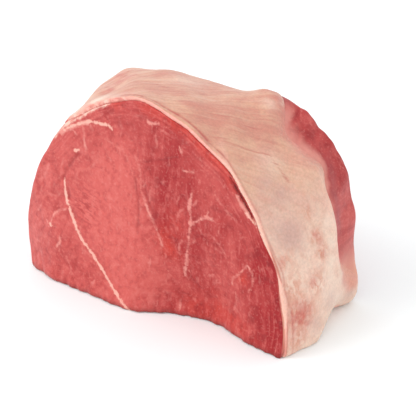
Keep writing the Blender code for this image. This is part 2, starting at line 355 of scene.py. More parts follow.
# Where the fat cover ends beside the bare strip
BARE_STRIP_EDGE = drawn([
    (40.6, 48.6, 134.9), (47.5, 43.4, 134.2), (54.8, 32.7, 130.0), (61.3, 23.1, 124.5),
    (67.1, 20.7, 120.8), (79.3, 20.7, 114.8), (88.7, 26.9, 106.6), (96.9, 21.7, 91.0),
    (102.6, 21.5, 74.7), (105.0, 21.0, 57.7), (107.0, 20.3, 47.0), (108.4, 24.8, 38.9),
    (107.4, 34.9, 30.7), (107.1, 44.1, 22.0), (107.6, 46.3, 16.0),
])

# Where the cover ends on the left side, out of the photo's sight
LEFT_FREE_EDGE = drawn([
    (-73.3, -40.5, 118.4), (-86.3, -18.4, 111.3), (-98.4, 3.6, 104.5), (-104.1, 25.2, 94.3),
    (-107.5, 46.9, 84.0),
])

# Where the round side stands out a little or lies in, so that it isn't one even sweep: (x, y) in mm,
# the spread along each, and how far out
SWELLS = (
    (28.0, 36.0, 30.0, 22.0, 4.2),
    (-60.0, 29.0, 34.0, 15.0, 2.8),
    (-73.0, -44.0, 17.0, 16.0, 2.6),
    (-58.0, -14.0, 13.0, 15.0, -3.8),
)
# How far the right foot is drawn in at its middle, and spread at the toe and at the rear corner
FOOT_DRAWN_IN = 7.5
TOE_SPREAD = 3.4
CORNER_SPREAD = 4.5
# The height of the slab's middle line in mm, and the least share of a normal along y on a cut
MIDDLE_HEIGHT = 40.0
ON_A_CUT = 0.75
# How far from the main seam the back cut is made finer, and from each seam the front cut
BESIDE_MAIN_SEAM = 9.0
BESIDE_A_SEAM = 1.7

MAIN_SEAM_LINES = [drawn(row[2]) for row in MAIN_SEAM]
SEAM_LINES = [drawn(row[2]) for row in WHITE_SEAMS + PINK_SEAMS + DARK_SEAMS_AND_SHADOWS + OPEN_GAP]


def on_front_cut(centres, normals):
    return normals[:, 1] < -ON_A_CUT


def on_back_cut_beside_the_main_seam(centres, normals):
    beside = nearest_line(centres[:, [0, 2]], MAIN_SEAM_LINES) < BESIDE_MAIN_SEAM
    return (normals[:, 1] > ON_A_CUT) & beside


def on_front_cut_beside_a_seam(centres, normals):
    beside = nearest_line(centres[:, [0, 2]], SEAM_LINES) < BESIDE_A_SEAM
    return (normals[:, 1] < -ON_A_CUT) & beside


def from_middle(places):
    """From the slab's middle line to each point, square to that line."""
    return places * (1.0, 0.0, 1.0) - (0.0, 0.0, MIDDLE_HEIGHT)


def shaped(places):
    """The round side swollen, and the right foot drawn in at its middle and spread at its ends."""
    x, y, z = places.T
    out = from_middle(places)
    out /= np.linalg.norm(out, axis=1)[:, None]
    rise = np.zeros(len(places))
    for middle_x, middle_y, spread_x, spread_y, amount in SWELLS:
        rise += amount * hill(x, middle_x, spread_x) * hill(y, middle_y, spread_y)
    foot = CORNER_SPREAD * ease(26.0, 44.0, y) * fall(18.0, 42.0, z) * ease(-4.0, 16.0, z)
    foot += TOE_SPREAD * hill(y, -18.0, 13.0) * fall(2.0, 18.0, z)
    foot -= FOOT_DRAWN_IN * hill(y, 19.0, 15.0) * fall(2.0, 22.0, z)
    moved = places + out * (rise * ease(70.0, 105.0, z))[:, None]
    moved[:, 0] += foot * ease(80.0, 100.0, x)
    return moved


def wavy_left_edge(places):
    """Distance in mm from the cover's free edge on the left, and how far waves move that edge."""
    wave = 4.5 * lumps(places, 15.0, 12) + 2.0 * lumps(places, 5.0, 13)
    return from_line(places, LEFT_FREE_EDGE)[0], wave


def round_areas(points, areas):
    """How strongly each (x, z) point lies in all the round areas (x, z, radius, amount) together."""
    total = np.zeros(len(points))
    for x, z, radius, amount in areas:
        total += amount * hill(np.hypot(points[:, 0] - x, points[:, 1] - z), 0.0, radius)
    return total


lean = finer_copy("lean", "knuckle_lean", 2)
subdivide_where(lean, on_front_cut)
subdivide_where(lean, on_back_cut_beside_the_main_seam)
subdivide_where(lean, on_front_cut_beside_a_seam)
places, normals = points_mm(lean)
places = shaped(places)
flat = places[:, [0, 2]]
front = ease(0.55, 0.85, -normals[:, 1])
back = ease(0.55, 0.85, normals[:, 1])
seams = {}
for name, lines in (
    ("white_seam", WHITE_SEAMS),
    ("pink_seam", PINK_SEAMS),
    ("faint_seam", FAINT_SEAMS),
    ("dark_seam_and_shadow", DARK_SEAMS_AND_SHADOWS),
    ("open_gap_and_shade", OPEN_GAP),
    ("shoulder_fat", SHOULDER_FAT),
):
    seams[name] = np.where(front > 0.0, inside_lines(flat, lines), FAR_OUTSIDE)
# The muscles run through the slab, so the back cut shows the main seam too, a little shifted
shifted = flat + np.stack([4.0 * lumps(places, 28.0, 10), 4.0 * lumps(places, 28.0, 11)], axis=1)
seams["white_seam"] = np.where(back > 0.0, inside_lines(shifted, MAIN_SEAM), seams["white_seam"])
rim_gap, rim_run = from_line(flat, CUT_RIM)[:2]
on_cut = np.where(back[:, None] > 0.0, shifted, flat)
edge_gap, edge_side = from_line(on_cut, DEEP_RED_EDGE)[::2]

# Relief in mm: lumps of three sizes, proud pale seams, a furrow between the pale and the deep red
# muscle, dark seams and the open gap cut in, and the top of the bare strip swollen
SEAM_RISE = 0.12
FURROW_DEPTH = 0.30
DARK_SEAM_DEPTH = 0.35
OPEN_GAP_DEPTH = 1.30
STRIP_SWELLING = 1.2
relief = 0.45 * lumps(places, 17.0, 1) + 0.22 * lumps(places, 7.5, 2)
relief += 0.10 * lumps(places, 3.2, 3)
pale_seams = np.maximum(seams["white_seam"], seams["pink_seam"])
relief += front * SEAM_RISE * ease(-0.6, 0.5, pale_seams)
relief -= front * FURROW_DEPTH * hill(edge_gap, 0.0, 2.6)
relief -= front * DARK_SEAM_DEPTH * ease(-1.4, 0.4, seams["dark_seam_and_shadow"])
relief -= front * OPEN_GAP_DEPTH * ease(-0.8, 0.6, seams["open_gap_and_shade"])
strip_top = hill(from_line(places, BARE_STRIP_EDGE)[0], 0.0, 10.0) * ease(88.0, 112.0, places[:, 2])
relief += STRIP_SWELLING * strip_top * (1.0 - front)
relief *= ease(0.5, 6.0, places[:, 2])
places = places + normals * relief[:, None]
# The foot of the cut bulges forward, most under the middle, and unevenly
FOOT_BULGE = 2.0
MIDDLE_BULGE = 2.6
bulge = FOOT_BULGE + MIDDLE_BULGE * hill(places[:, 0], -12.0, 36.0)
bulge += 1.3 * lumps(places * (1.0, 1.0, 0.4), 4.5, 8)
places[:, 1] -= front * fall(0.0, 16.0, places[:, 2]) * bulge
move_to_mm(lean, places)

# How deep the red is, on the cuts and beside them, and where it is warm or has dark strokes
x, y, z = places.T
flat_x, flat_z = flat.T
cuts = front + back
sides = 1.0 - cuts
depth = 0.20 + 0.38 * ease(-7.0, 9.0, edge_side * edge_gap) + round_areas(flat, TONE_AREAS)
depth += 0.30 * fall(2.0, 13.0, rim_gap) * fall(62.0, 84.0, flat_z) * ease(60.0, 80.0, flat_x)
side_depth = 0.36 + 0.30 * ease(70.0, 110.0, z)
glow = 0.9 * fall(3.0, 10.0, rim_gap) * ease(-20.0, 5.0, flat_x) * fall(58.0, 72.0, flat_x)
glow += round_areas(flat, WARM_AREAS)
fan = hill(flat_x, -56.0, 13.0) * hill(flat_z, 64.0, 16.0)
# The bare strip pales towards the fat, most at the crown and at its foot, with a painted grey
# shade between
strip_gap = from_line(places, BARE_STRIP_EDGE)[0] + 1.5 * lumps(places, 6.0, 7)
crown = hill(x, 66.0, 17.0)
veil = fall(0.8 + 2.0 * crown, 3.2 + 11.0 * crown, strip_gap)
veil = np.maximum(veil, 0.95 * fall(26.0, 58.0, z))
veil = np.maximum(veil, 0.75 * fall(0.5, 5.0, strip_gap) * fall(80.0, 98.0, z))
to_the_right = ease(0.1, 0.5, normals[:, 0])
left_gap, wave = wavy_left_edge(places)
veil = np.maximum(veil * to_the_right, fall(0.0, 2.5, left_gap + wave))
tan = fall(24.0, 44.0, z) * ease(4.0, 14.0, z) * to_the_right
# painted shade a little way out from the fat's edge, down the middle of the strip
shade = hill(strip_gap, 6.0, 3.5) * ease(50.0, 66.0, z) * fall(96.0, 112.0, z)
for name, inside in seams.items():
    keep_values(lean, name, np.clip(inside, -3.0, 3.0))
for name, values in (
    ("from_rim", np.clip(rim_gap, 0.0, 80.0)),
    ("along_rim", rim_run),
    ("deep_red", cuts * depth + sides * side_depth),
    ("warm_red", front * glow),
    ("stroke_area", front * fan),
    ("pale_veil", sides * veil),
    ("foot_tan", sides * tan),
    ("strip_painted_shade", sides * shade),
    # painted shade along the foot, within 5 mm of the board
    ("painted_foot_shade", fall(0.0, 5.0, z)),
):
    keep_values(lean, name, values)
take_up(lean)
bpy.ops.object.shade_smooth()


def linear(code):
    """An sRGB hex colour as linear red, green, blue and alpha."""
    parts = [int(code[i : i + 2], 16) / 255.0 for i in (1, 3, 5)]
    return tuple(p / 12.92 if p <= 0.04045 else ((p + 0.055) / 1.055) ** 2.4 for p in parts) + (1.0,)


def add(tree, kind, inputs, output=0, **settings):
    """Adds a node and gives one of its outputs. Inputs are constants, or sockets to link to."""
    made = tree.nodes.new(kind)
    for name, value in settings.items():
        setattr(made, name, value)
    for name, value in inputs.items():
        if isinstance(value, bpy.types.NodeSocket):
            tree.links.new(value, made.inputs[name])
        else:
            made.inputs[name].default_value = value
    return made.outputs[output]


# The sockets of a Mix node: its two numbers, its two colours, and the mixed colour that it gives
NUMBER_A, NUMBER_B = 2, 3
COLOUR_A, COLOUR_B, MIXED_COLOUR = 6, 7, 2
# Pale and deep muscle, and the two colours in which the muscle and the fat meet: salmon along the
# bare strip and tan at its foot
PALE_MUSCLE = "#CC5A54"
DEEP_MUSCLE = "#A01B1F"
SALMON = "#D78D80"
TAN = "#DB9A84"

# Raw beef muscle, cut across the grain and moist: coral to crimson, mottled where the fibre bundles
# end, streaked where they lie along the cut, softly glossy, and the light goes a little way in.
muscle = bpy.data.materials.new("raw_beef_muscle")
muscle.use_nodes = True
tree = muscle.node_tree
held = {"everywhere": 1.0}
for name in (
    "white_seam", "pink_seam", "faint_seam", "dark_seam_and_shadow", "open_gap_and_shade", "shoulder_fat", "from_rim",
    "along_rim", "deep_red", "warm_red", "stroke_area", "strip_painted_shade", "pale_veil", "foot_tan",
    "painted_foot_shade",
):
    held[name] = add(tree, "ShaderNodeAttribute", {}, "Fac", attribute_name=name)

# Places in mm: as they are, bent by up to 1.5 mm so that nothing runs even, turned 14 degrees in the
# cut's plane, and round the rim
place = add(tree, "ShaderNodeTexCoord", {}, "Object")
in_mm = {0: place, 1: (MM_IN_A_METRE, MM_IN_A_METRE, MM_IN_A_METRE)}
place = add(tree, "ShaderNodeVectorMath", in_mm, operation="MULTIPLY")
warp = add(tree, "ShaderNodeVectorMath", {0: place, 1: (5.26, 5.26, 5.26)}, operation="DIVIDE")
warp = add(tree, "ShaderNodeTexNoise", {"Vector": warp, "Scale": 1.0, "Detail": 2.0}, "Color")
bent = {0: warp, 1: (3.0, 3.0, 3.0), 2: place}
bent = add(tree, "ShaderNodeVectorMath", bent, operation="MULTIPLY_ADD")
turned = {"Vector": place, "Rotation": (0.0, -0.244, 0.0)}
turned = add(tree, "ShaderNodeMapping", turned, vector_type="POINT")
round_rim = add(tree, "ShaderNodeCombineXYZ", {0: held["along_rim"], 1: held["from_rim"]})

# Noise: the size in mm of its bumps along each axis, and its detail, roughness and distortion
for name, where, sizes, detail, roughness, distortion in (
    # slow drifts of tone, and upright columns of it in the deep red muscles
    ("drift", place, (45.5, 45.5, 45.5), 2.0, 0.55, 0.0),
    ("cloud", place, (13.33, 13.33, 13.33), 3.0, 0.60, 0.0),
    ("columns", place, (7.7, 7.7, 41.7), 2.0, 0.50, 0.0),
    # ends of fibre bundles, fibres that lie along the cut upright or round the rim, and a fine grit
    ("blotch", bent, (4.76, 4.76, 4.76), 2.0, 0.55, 0.0),
    ("upright", bent, (3.03, 3.03, 14.3), 3.0, 0.55, 0.0),
    ("grain", round_rim, (16.7, 1.82, 1.0), 3.0, 0.55, 0.0),
    ("fine", place, (1.61, 1.61, 1.61), 2.0, 0.50, 0.0),
    # dark strokes that fan out from the main seam
    ("strokes", turned, (6.5, 6.5, 1.9), 2.0, 0.60, 0.0),
    # darker bundles, wisps of pale tissue among the fibres, and pale grains
    ("bundles", bent, (8.0, 8.0, 8.0), 2.0, 0.60, 0.0),
    ("wisps", bent, (3.85, 3.85, 9.1), 2.0, 0.50, 0.8),
    ("grains", place, (1.7, 1.7, 1.7), 1.0, 0.50, 0.0),
    # how ragged the seams' edges are, and how their strength comes and goes
    ("ragged", place, (3.03, 3.03, 3.03), 3.0, 0.70, 0.0),
    ("broken", place, (6.67, 6.67, 6.67), 2.0, 0.50, 0.0),
):
    spread = add(tree, "ShaderNodeVectorMath", {0: where, 1: sizes}, operation="DIVIDE")
    shape = {"Vector": spread, "Scale": 1.0, "Detail": detail, "Roughness": roughness}
    shape["Distortion"] = distortion
    held[name] = add(tree, "ShaderNodeTexNoise", shape)

# Shares that rise or fall smoothly, from start to end, as a value goes from low to high
for name, value, low, high, start, end in (
    ("upright_share", "deep_red", 0.30, 0.62, 0.10, 0.75),
    ("grain_share", "from_rim", 6.0, 26.0, 0.85, 0.0),
    ("sunk", "deep_red", 0.0, 0.6, 0.55, 1.0),
    ("clouded", "cloud", 0.46, 0.66, 0.0, 1.0),
    ("layered", "grain", 0.60, 0.46, 0.25, 1.0),
    ("ragged", "ragged", 0.3, 0.7, -0.85, 0.60),
    ("broken", "broken", 0.34, 0.54, 0.35, 1.0),
):
    limits = {0: held[value], 1: low, 2: high, 3: start, 4: end}
    held[name] = add(tree, "ShaderNodeMapRange", limits, interpolation_type="SMOOTHSTEP")

# The mottling is the ends of bundles, upright fibres where the muscle is deep red, and fibres round
# the rim near it
held["mottle"] = held["blotch"]
for share, fibres in (("upright_share", "upright"), ("grain_share", "grain")):
    ends = {0: held[share], NUMBER_A: held["mottle"], NUMBER_B: held[fibres]}
    held["mottle"] = add(tree, "ShaderNodeMix", ends)

# Sums, each a first value times a second, plus a third. The depth is how deep the red is, and a
# seam's edge is moved by its raggedness
for name, first, second, third in (
    ("mottle", "fine", 0.22, "mottle"),
    ("columns", "columns", "deep_red", 0.0),
    ("depth", "drift", 0.35, -0.45),
    ("depth", "cloud", 0.55, "depth"),
    ("depth", "columns", 1.6, "depth"),
    ("depth", "deep_red", 0.26, "depth"),
    ("dark_seam_and_shadow", "dark_seam_and_shadow", 1.0, "ragged"),
    ("open_gap_and_shade", "open_gap_and_shade", 1.0, "ragged"),
    ("shoulder_fat", "shoulder_fat", 1.0, "ragged"),
    ("faint_seam", "faint_seam", 1.0, "ragged"),
    ("pink_seam", "pink_seam", 1.0, "ragged"),
    ("white_seam", "white_seam", 1.0, "ragged"),
):
    parts = {0: held[first], 1: held.get(second, second), 2: held.get(third, third)}
    held[name] = add(tree, "ShaderNodeMath", parts, operation="MULTIPLY_ADD")

# Colours, each laid over those above it in the area named first. Its share there goes from start
# to end as the value named next goes from low to high.
ends = {0: held["depth"], COLOUR_A: linear(PALE_MUSCLE), COLOUR_B: linear(DEEP_MUSCLE)}
tone = add(tree, "ShaderNodeMix", ends, MIXED_COLOUR, data_type="RGBA")
for area, value, low, high, start, end, code in (
    # warm red, then pale and dark ends of bundles, dark bundles, wisps, pale grains and strokes
    ("warm_red", "cloud", 0.3, 0.7, 0.50, 0.90, "#C8392B"),
    ("everywhere", "mottle", 0.61, 0.78, 0.0, 0.34, "#DA766E"),
    ("sunk", "mottle", 0.61, 0.44, 0.0, 0.50, "#94191C"),
    ("deep_red", "bundles", 0.48, 0.72, 0.0, 0.86, "#8C171C"),
    ("clouded", "wisps", 0.55, 0.76, 0.0, 0.65, "#DC867D"),
    ("everywhere", "grains", 0.54, 0.76, 0.0, 0.20, "#DF8E83"),
    ("stroke_area", "strokes", 0.46, 0.62, 0.0, 0.72, "#A32C2D"),
    # the bare strip, greyer with painted shade and then paler towards the fat, tan at its foot
    ("strip_painted_shade", "cloud", 0.3, 0.7, 0.35, 0.55, "#9C5A5C"),
    ("pale_veil", "cloud", 0.3, 0.7, 0.70, 1.0, SALMON),
    ("foot_tan", "cloud", 0.3, 0.6, 0.60, 1.0, TAN),
    # painted shade at the foot of the cut, darker within 5 mm of the board
    ("painted_foot_shade", "cloud", 0.3, 0.7, 0.55, 0.75, "#7A2C28"),
    # dark seams, two of them painted shadow beside the main seam, and the open gap in painted shade,
    # then the fat and the tissue in the seams
    ("broken", "dark_seam_and_shadow", -2.0, 0.9, 0.0, 0.60, "#8C1C1F"),
    # painted shade inside the open gap
    ("everywhere", "open_gap_and_shade", -0.9, 0.7, 0.0, 0.90, "#761A1A"),
    ("layered", "shoulder_fat", -1.6, 0.6, 0.0, 0.90, "#EBC5B4"),
    ("broken", "faint_seam", -1.2, 0.8, 0.0, 0.55, "#D87F76"),
    ("broken", "pink_seam", -1.2, 0.8, 0.0, 0.86, "#DF8E83"),
    ("everywhere", "white_seam", -0.8, 0.5, 0.0, 0.95, "#E8AC9C"),
):
    limits = {0: held[value], 1: low, 2: high, 3: start, 4: end}
    share = add(tree, "ShaderNodeMapRange", limits, interpolation_type="SMOOTHSTEP")
    share = add(tree, "ShaderNodeMath", {0: share, 1: held[area]}, operation="MULTIPLY")
    laid = {0: share, COLOUR_A: tone, COLOUR_B: linear(code)}
    tone = add(tree, "ShaderNodeMix", laid, MIXED_COLOUR, data_type="RGBA")

# Bundles and fibres stand 0.2 mm out of the cut, under a film of moisture of uneven gloss
raised = {"Strength": 0.6, "Distance": 0.0007, "Height": held["mottle"]}
gloss = {0: held["cloud"], 1: 0.3, 2: 0.7, 3: 0.28, 4: 0.46}
shader = tree.nodes["Principled BSDF"]
tree.links.new(tone, shader.inputs["Base Color"])
tree.links.new(add(tree, "ShaderNodeBump", raised), shader.inputs["Normal"])
tree.links.new(add(tree, "ShaderNodeMapRange", gloss), shader.inputs["Roughness"])
shader.inputs["IOR"].default_value = 1.38
shader.inputs["Subsurface Weight"].default_value = 0.15
shader.inputs["Subsurface Radius"].default_value = (1.0, 0.30, 0.22)
shader.inputs["Subsurface Scale"].default_value = 0.0018
lean.data.materials.append(muscle)
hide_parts("lean")
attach(lean, "root")


# The fat cover: the fat and silverskin that the butcher leaves on the round side, 1 to 7 mm thick,
# cut through at the front and trimmed thin along the bare strip. It is a finer copy of the solid,
# pressed onto the lean, with its foot down on the board.
# Soft marks on it: (x, y, z) and radius in mm, and strength. Red ones are blood or thin fat, tan
# ones dried, grey ones clear skin, and cream ones thick fat, or painted highlight down the right
# side and on the crest.
FAT_RED = (
    (-75.0, 26.0, 131.0, 9.0, 1.0),
    (-60.0, 8.0, 137.5, 9.0, 0.9),
    (-62.0, -8.0, 137.0, 6.0, 0.9),
    (-26.7, -34.0, 149.3, 7.0, 0.5),
    (47.1, 38.0, 138.5, 7.0, 0.7),
    (53.7, 36.5, 131.0, 7.0, 0.7),
    (102.6, -2.6, 71.0, 3.4, 0.6),
    (105.0, -1.5, 66.0, 3.2, 0.5),
    (108.0, -1.3, 59.4, 3.0, 0.5),
    (111.0, -16.9, 45.7, 4.0, 0.6),
    (98.1, -35.3, 64.4, 3.5, 0.5),
    (108.5, -33.3, 35.6, 4.5, 0.6),
    (109.8, -31.0, 25.0, 11.5, 1.0),
    (110.0, -30.0, 17.0, 5.0, 0.5),
    (113.0, 24.6, 27.9, 6.0, 0.7),
)
FAT_TAN = (
    (98.0, -32.0, 64.0, 9.0, 0.5),
    (105.0, -33.0, 46.0, 11.0, 0.7),
    (109.5, -31.0, 28.0, 13.0, 1.0),
    (110.0, -34.0, 12.0, 10.0, 0.8),
    (112.0, -14.0, 43.0, 8.0, 0.9),
    (104.0, -3.0, 70.0, 6.0, 0.8),
    (107.5, -2.0, 60.0, 6.0, 0.9),
    (96.0, -4.0, 86.0, 6.0, 0.6),
)
FAT_GREY = (
    (76.8, -22.7, 109.2, 7.0, 0.5),
    (83.9, -17.1, 99.8, 8.0, 0.6),
    (95.6, -23.1, 77.5, 11.0, 1.0),
    (112.4, -22.1, 18.1, 3.0, 0.6),
    (114.3, 1.4, 23.4, 8.0, 0.5),
    (113.6, -15.8, 15.0, 6.0, 0.6),
    (112.0, 31.9, 14.0, 7.0, 0.6),
)
FAT_CREAM_AND_HIGHLIGHTS = (
    (-46.6, -38.0, 139.5, 11.0, 1.0),
    (-62.0, -38.0, 127.0, 8.0, 0.8),
    (-30.0, -38.0, 147.5, 8.0, 0.6),
    (-15.1, 20.9, 142.7, 14.0, 0.45),
    (72.1, -10.8, 117.3, 9.0, 0.35),
    # painted highlight: the cream from here down the right side stands for light
    (104.7, 11.8, 76.5, 6.0, 0.8),
    (108.3, 8.8, 62.3, 6.0, 0.9),
    (110.6, 4.9, 50.4, 6.0, 0.9),
    (112.6, 2.0, 40.0, 7.0, 0.7),
    (113.6, 6.0, 24.0, 12.0, 0.9),
    (112.0, 20.0, 12.0, 12.0, 0.8),
    (111.5, -12.0, 40.0, 9.0, 0.5),
    (111.0, -20.0, 12.0, 8.0, 0.8),
    (110.0, -24.0, 4.0, 7.0, 0.6),
    # painted highlight on the crest, and low at the rear of the right side
    (46.5, 28.5, 137.2, 5.5, 0.6),
    (48.5, 39.5, 136.0, 5.5, 0.7),
    (112.2, 31.0, 15.0, 6.0, 0.7),
)
# Red streaks in the silverskin on the crown: widths, then (x, y, z) points
FAT_STREAKS = (
    (1.6, 1.0, [(-42.0, -10.0, 143.0), (-30.6, -2.4, 146.8), (-16.7, -3.2, 146.6), (-4.0, 2.0, 145.0)]),
    (1.4, 1.8, [(-7.7, -9.8, 147.5), (8.4, 8.5, 142.0), (24.8, 26.8, 137.1), (46.0, 26.6, 137.0)]),
    (1.0, 1.2, [(10.0, -12.0, 144.5), (28.0, 4.0, 139.5), (44.0, 12.0, 135.5)]),
    (1.4, 1.0, [(43.2, -29.8, 133.6), (55.4, -20.4, 127.7), (68.7, -6.8, 120.5)]),
    (1.0, 0.8, [(68.4, -7.1, 120.6), (76.0, -7.0, 113.0), (83.9, -6.4, 105.0)]),
    (1.2, 0.8, [(20.0, -22.0, 143.0), (36.0, -8.0, 138.0), (52.0, 2.0, 131.5)]),
    (1.6, 1.2, [(-58.0, 6.0, 139.0), (-46.0, 16.0, 141.5), (-34.0, 30.0, 141.0)]),
    (1.2, 1.0, [(-20.0, 20.0, 143.0), (-2.0, 34.0, 139.5), (14.0, 44.0, 137.0)]),
    (2.6, 1.6, [
        (-86.0, 31.0, 129.0), (-74.0, 22.0, 134.5), (-60.0, 14.0, 139.0), (-48.0, 12.0, 142.5),
    ]),
    (2.2, 1.2, [(-74.0, 4.0, 132.0), (-62.0, -4.0, 136.0), (-52.0, -12.0, 140.0)]),
)
# The plane of the front cut, and how far the cover's foot comes down: the solid ends above the board
CUT_PLANE = -40.0
FOOT_LOWERED = 4.6
# How far a face looks away from the slab's middle, in mm, where it is on the round side, how deep
# the groove behind the cut is, and how high above the board the foot starts to turn in
ON_ROUND_SIDE = 12.0
GROOVE_DEPTH = 0.35
TURNED_FOOT = 10.0


def on_round_side(centres, normals):
    return (normals * from_middle(centres)).sum(axis=1) > ON_ROUND_SIDE


def spots(places, marks):
    """How strongly each point is covered by soft round marks: (x, y, z, radius, strength)."""
    cover = np.zeros(len(places))
    for x, y, z, radius, strength in marks:
        away = np.linalg.norm(places - (x, y, z), axis=1)
        cover = np.maximum(cover, strength * hill(away, 0.0, radius))
    return cover


fat = finer_copy("fat_cover", "fat_cover_skin", 2)
subdivide_where(fat, on_round_side)
places, normals = points_mm(fat)
places = shaped(places)
outside = ease(-6.0, 12.0, (normals * from_middle(places)).sum(axis=1))
cut_edge = ease(0.25, 0.75, -normals[:, 1])
rim_gap, rim_run = from_line(places[:, [0, 2]], CUT_RIM)[:2]
strip_gap = from_line(places, BARE_STRIP_EDGE)[0]
left_gap, wave = wavy_left_edge(places)

# Each point's foot on the lean. The under side is sunk 1 mm into the lean, and the free edges are
# thinned until they lie on it.
muscle_tree = BVHTree.FromPolygons(
    [vert.co for vert in lean.data.vertices], [face.vertices[:] for face in lean.data.polygons]
)
feet = np.empty_like(places)
out = np.empty_like(places)
for index, point in enumerate(places):
    foot, normal = muscle_tree.find_nearest(Vector(point) / MM_IN_A_METRE)[:2]
    feet[index] = np.array(foot) * MM_IN_A_METRE
    out[index] = normal
height = ((places - feet) * out).sum(axis=1)
feather = 5.0 + 7.0 * ease(85.0, 108.0, places[:, 2]) + 12.0 * fall(28.0, 48.0, places[:, 2])
keep = ease(0.0, feather, strip_gap) * ease(0.0, 8.0, left_gap)
cover = outside * (0.10 + np.maximum(height, 0.0) * keep)
thinned = places - out * (height - cover)[:, None]
places = np.where((outside > 0.5)[:, None], thinned, feet - out)

# Relief in mm: lumps of two sizes, and a groove behind the cut, nearer to it low on the right
relief = 0.35 * lumps(places, 13.0, 4) + 0.16 * lumps(places, 5.0, 5)
relief *= outside * keep * ease(0.5, 2.0, cover)
behind = places[:, 1] - CUT_PLANE + 0.8 * lumps(places, 11.0, 6)
low_right = ease(40.0, 70.0, places[:, 0])
groove = hill(behind, 4.4 - 2.4 * low_right, 1.0 - 0.3 * low_right)
groove *= outside * ease(-34.0, -20.0, places[:, 0]) * (1.0 - 0.5 * low_right)
places = places + out * (relief - GROOVE_DEPTH * groove)[:, None]
# The foot comes down to the board and turns in
places[:, 2] -= FOOT_LOWERED * fall(4.0, 22.0, places[:, 2])
places[:, 2] = np.maximum(places[:, 2], 0.15)
low = np.clip((TURNED_FOOT - places[:, 2]) / TURNED_FOOT, 0.0, 1.0)
turn_in = 2.4 + 3.8 * ease(-18.0, 6.0, places[:, 1]) + 1.6 * lumps(places, 8.0, 9)
turn_in *= (1.0 - np.sqrt(1.0 - low**2)) * ease(0.3, 0.9, np.abs(out[:, 0]))
places[:, 0] -= turn_in * ease(60.0, 90.0, places[:, 0])
move_to_mm(fat, places)

# It fades to the muscle's colour towards the strip, most at the crown but not on the crest there,
# where a highlight is painted, and at its low rear corner, where it is tan
x, y, z = places.T
corner = ease(98.0, 114.0, z)
crest = hill(np.linalg.norm(places - (48.5, 38.5, 136.0), axis=1), 0.0, 6.5)
fading = (0.3 + 0.7 * corner) * fall(0.0, 2.5 + 9.0 * corner, strip_gap) * (1.0 - 0.75 * crest)
low_corner = 0.9 * ease(20.0, 34.0, y) * fall(28.0, 44.0, z)
low_end = 0.95 * fall(1.0, 9.0, strip_gap) * fall(44.0, 58.0, z)
tan = outside * np.maximum(low_corner, low_end) * ease(13.0, 21.0, z)
beside = hill(strip_gap, 7.0, 4.0) * ease(40.0, 56.0, z) * fall(96.0, 112.0, z)
for name, values in (
    ("along_rim", rim_run),
    ("from_rim", np.clip(rim_gap, 0.0, 30.0)),
    ("behind_cut", y - CUT_PLANE),
    ("cut_edge", cut_edge),
    ("left_crown", fall(-30.0, -8.0, x)),
    ("low_right", low_right),
    # painted light: the low side of the cover paler, as bright as the lit top
    ("low_side_painted_light", outside * fall(60.0, 135.0, z) * ease(0.0, 30.0, x)),
    ("groove", groove),
    ("worn", np.clip(outside * fall(0.0, 2.5, left_gap - wave), 0.0, 1.0)),
    ("fading", np.maximum(fading, tan)),
    ("foot_tan", tan),
    ("strip_band", 0.5 * beside * outside),
    ("red_streak", np.clip(inside_lines(places, FAT_STREAKS), -4.0, 3.0)),
    ("red_spots", spots(places, FAT_RED)),
    ("tan_spots", spots(places, FAT_TAN)),
    ("grey_spots", spots(places, FAT_GREY)),
    ("cream_and_highlight_spots", spots(places, FAT_CREAM_AND_HIGHLIGHTS)),
):
    keep_values(fat, name, values)
take_up(fat)
bpy.ops.object.shade_smooth()

# Raw beef fat under silverskin, moist: cream to pink, streaked along the joint, red where it is
# thin or bloody and grey where the skin over it is clear.
skin = bpy.data.materials.new("raw_beef_fat_and_silverskin")
skin.use_nodes = True
tree = skin.node_tree
held = {"everywhere": 1.0}
for name in (
    "along_rim", "behind_cut", "from_rim", "left_crown", "low_right", "low_side_painted_light", "cut_edge", "groove",
    "worn", "fading", "strip_band", "foot_tan", "red_streak", "red_spots", "tan_spots", "grey_spots",
    "cream_and_highlight_spots",
):
    held[name] = add(tree, "ShaderNodeAttribute", {}, "Fac", attribute_name=name)

# Places in mm: as they are, round the rim, and round the joint turned 43 degrees askew
place = add(tree, "ShaderNodeTexCoord", {}, "Object")
in_mm = {0: place, 1: (MM_IN_A_METRE, MM_IN_A_METRE, MM_IN_A_METRE)}
place = add(tree, "ShaderNodeVectorMath", in_mm, operation="MULTIPLY")
round_rim = add(tree, "ShaderNodeCombineXYZ", {0: held["along_rim"], 1: held["from_rim"]})
round_joint = add(tree, "ShaderNodeCombineXYZ", {0: held["along_rim"], 1: held["behind_cut"]})
askew = {"Vector": round_joint, "Rotation": (0.0, 0.0, 0.75)}
askew = add(tree, "ShaderNodeMapping", askew, vector_type="TEXTURE")

